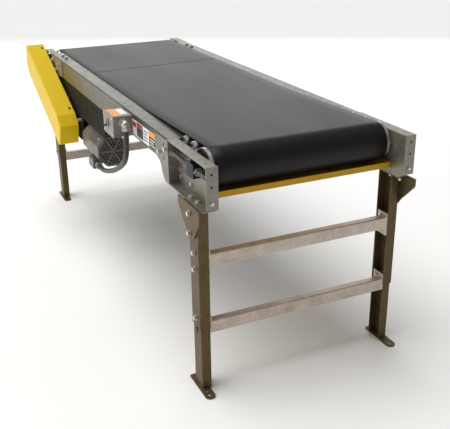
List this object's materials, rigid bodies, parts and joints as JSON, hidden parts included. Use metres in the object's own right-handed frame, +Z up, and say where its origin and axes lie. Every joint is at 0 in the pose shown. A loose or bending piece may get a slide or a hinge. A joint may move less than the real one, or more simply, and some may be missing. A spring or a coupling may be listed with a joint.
{
  "type": "belt conveyor section",
  "caption": "Slider-bed belt conveyor section on adjustable stands, with a screw take-up tail and a guarded chain drive from a worm gear motor",
  "frame": {"origin": "on the floor, at the centre of the four front floor anchor holes of the stands", "axes": "+X along the belt towards the tail (take-up) end, +Y to the side away from the drive, +Z up"},
  "size_m": [2.2426, 0.8775, 0.8574],
  "materials": {
    "galvanised": "spangled galvanised sheet",
    "bright_steel": "turned or drawn steel, light oil",
    "zinc_hardware": "zinc plated",
    "black_steel": "black oxide and dark enamel",
    "belt_rubber": "matt ribbed black belt cover",
    "guard_yellow": "safety yellow powder coat",
    "reducer_enamel": "dark blue-black enamel on cast iron",
    "motor_enamel": "dark grey enamel",
    "bronze": "cast bronze",
    "box_grey": "light grey enamel",
    "black_plastic": "moulded, satin",
    "conduit_grey": "satin jacket"
  },
  "bodies": {
    "frame": {"slider_bed": "galvanised", "bed_ties": "galvanised", "stand_bolts": "zinc_hardware", "bracket_bolts": "zinc_hardware", "belt": "belt_rubber", "take_up_rods": "black_steel", "roller_axles": "bright_steel", "roller_hangers": "galvanised", "return_guard_pan": "guard_yellow", "guard_shell": "guard_yellow", "guard_back_plate": "guard_yellow", "guard_screws": "bright_steel", "roller_chain": "black_steel", "drive_mount": "reducer_enamel", "reducer_housing": "reducer_enamel", "motor_frame": "motor_enamel", "motor_fan_cover": "motor_enamel", "switch_box": "box_grey", "conduit_fittings": "box_grey", "conduit": "conduit_grey", "drive_bearing_left": "black_steel", "drive_bearing_right": "black_steel", "brace_tail_upper": "galvanised", "brace_tail_lower": "galvanised", "bracket_tail_left": "galvanised", "leg_tail_left": "galvanised", "leg_head_tail_left": "galvanised", "bracket_tail_right": "galvanised", "leg_tail_right": "galvanised", "leg_head_tail_right": "galvanised", "brace_drive_upper": "galvanised", "brace_drive_lower": "galvanised", "bracket_drive_left": "galvanised", "leg_drive_left": "galvanised", "leg_head_drive_left": "galvanised", "bracket_drive_right": "galvanised", "leg_drive_right": "galvanised", "leg_head_drive_right": "galvanised"},
    "take_up": {"take_up_block_left": "black_steel", "take_up_block_right": "black_steel", "take_up_nuts": "zinc_hardware", "tail_shaft": "bright_steel"},
    "tail_pulley": {"tail_pulley": "bright_steel"},
    "drive_pulley": {"drive_pulley": "bright_steel", "drive_shaft": "bright_steel", "driven_sprocket": "black_steel"},
    "roller_front": {"transition_roller_front": "bright_steel"},
    "roller_rear": {"transition_roller_rear": "bright_steel"},
    "roller_snub": {"snub_roller": "bright_steel"},
    "roller_return": {"return_roller": "bright_steel"},
    "reducer_output": {"output_shaft": "bright_steel", "worm_wheel": "bronze", "drive_sprocket": "black_steel"},
    "motor_rotor": {"motor_rotor": "bright_steel", "motor_fan": "black_plastic"},
    "toggle": {"switch_toggle": "black_plastic"},
    "foot_tail_left": {"foot_tail_left": "galvanised"},
    "foot_tail_right": {"foot_tail_right": "galvanised"},
    "foot_drive_left": {"foot_drive_left": "galvanised"},
    "foot_drive_right": {"foot_drive_right": "galvanised"}
  },
  "joints": [
    {"name": "take_up_slide", "type": "slide", "parent": "frame", "child": "take_up", "axis": [1, 0, 0], "range_m": [0, 0.04], "deforming": ["belt"]},
    {"name": "drive_pulley_spin", "type": "hinge", "parent": "frame", "child": "drive_pulley", "pos_m": [-1.079, 0, 0.7792], "axis": [0, 1, 0], "continuous": true},
    {"name": "tail_pulley_spin", "type": "hinge", "parent": "take_up", "child": "tail_pulley", "pos_m": [0.912, 0, 0.783], "axis": [0, 1, 0], "continuous": true},
    {"name": "roller_front_spin", "type": "hinge", "parent": "frame", "child": "roller_front", "pos_m": [0.827, 0, 0.82039], "axis": [0, 1, 0], "continuous": true},
    {"name": "roller_rear_spin", "type": "hinge", "parent": "frame", "child": "roller_rear", "pos_m": [0.752, 0, 0.81844], "axis": [0, 1, 0], "continuous": true},
    {"name": "roller_snub_spin", "type": "hinge", "parent": "frame", "child": "roller_snub", "pos_m": [-1.009, 0, 0.715], "axis": [0, 1, 0], "continuous": true},
    {"name": "roller_return_spin", "type": "hinge", "parent": "frame", "child": "roller_return", "pos_m": [-0.02, 0, 0.70305], "axis": [0, 1, 0], "continuous": true},
    {"name": "reducer_output_spin", "type": "hinge", "parent": "frame", "child": "reducer_output", "pos_m": [-0.58623, -0.3, 0.575], "axis": [0, 1, 0], "continuous": true},
    {"name": "motor_rotor_spin", "type": "hinge", "parent": "frame", "child": "motor_rotor", "pos_m": [-0.3, -0.321, 0.53], "axis": [1, 0, 0], "continuous": true},
    {"name": "toggle_rock", "type": "hinge", "parent": "frame", "child": "toggle", "pos_m": [0.2775, -0.446, 0.784], "axis": [1, 0, 0], "range_deg": [-40, 0]},
    {"name": "foot_tail_left_slide", "type": "slide", "parent": "frame", "child": "foot_tail_left", "axis": [0, 0, 1], "range_m": [-0.05, 0.05]},
    {"name": "foot_tail_right_slide", "type": "slide", "parent": "frame", "child": "foot_tail_right", "axis": [0, 0, 1], "range_m": [-0.05, 0.05]},
    {"name": "foot_drive_left_slide", "type": "slide", "parent": "frame", "child": "foot_drive_left", "axis": [0, 0, 1], "range_m": [-0.05, 0.05]},
    {"name": "foot_drive_right_slide", "type": "slide", "parent": "frame", "child": "foot_drive_right", "axis": [0, 0, 1], "range_m": [-0.05, 0.05]}
  ],
  "couplings": [
    {"joint": "tail_pulley_spin", "follows": "drive_pulley_spin", "ratio": 0.7953},
    {"joint": "reducer_output_spin", "follows": "drive_pulley_spin", "ratio": 1},
    {"joint": "motor_rotor_spin", "follows": "drive_pulley_spin", "ratio": 30},
    {"joint": "roller_front_spin", "follows": "drive_pulley_spin", "ratio": 2.113},
    {"joint": "roller_rear_spin", "follows": "drive_pulley_spin", "ratio": 2.113},
    {"joint": "roller_return_spin", "follows": "drive_pulley_spin", "ratio": -2.247},
    {"joint": "roller_snub_spin", "follows": "drive_pulley_spin", "ratio": -2.247}
  ]
}
